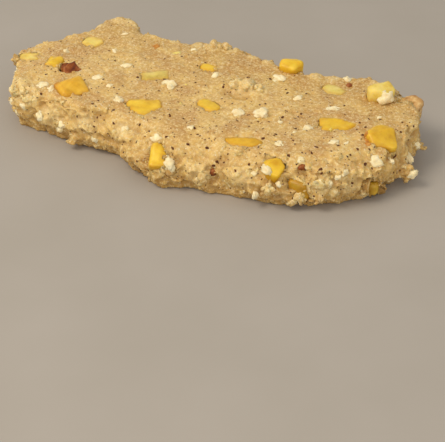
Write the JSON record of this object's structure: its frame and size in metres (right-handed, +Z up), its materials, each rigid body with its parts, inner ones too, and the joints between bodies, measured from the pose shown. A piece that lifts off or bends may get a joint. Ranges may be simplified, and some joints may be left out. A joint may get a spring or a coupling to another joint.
{
  "type": "granola bar",
  "caption": "Hand-cut slab of pale crumbly dough with a pressed flat top, craggy cut sides, diced yellow fruit, brown nut pieces and cream-coloured bits.",
  "frame": {"origin": "on the table under the middle of the bar's box", "axes": "+X along the bar, +Y across it towards its back edge, +Z up through the pressed top"},
  "size_m": [0.1024, 0.054, 0.0142],
  "materials": {
    "dough": "matt pale golden dough with a fine crumb, cream-coloured bits and dark specks",
    "fruit": "moist, slightly see-through candied yellow fruit",
    "nut": "roasted reddish-brown nut with a paler broken face"
  },
  "bodies": {
    "root": {"dough_bar": "dough", "fruit_01": "fruit", "fruit_02": "fruit", "fruit_03": "fruit", "fruit_04": "fruit", "fruit_05": "fruit", "fruit_06": "fruit", "fruit_07": "fruit", "fruit_08": "fruit", "fruit_09": "fruit", "fruit_10": "fruit", "fruit_11": "fruit", "fruit_12": "fruit", "fruit_13": "fruit", "fruit_14": "fruit", "fruit_15": "fruit", "fruit_16": "fruit", "fruit_17": "fruit", "fruit_18": "fruit", "fruit_19": "fruit", "fruit_20": "fruit", "fruit_21": "fruit", "fruit_22": "fruit", "nut_01": "nut", "nut_02": "nut"}
  },
  "joints": []
}
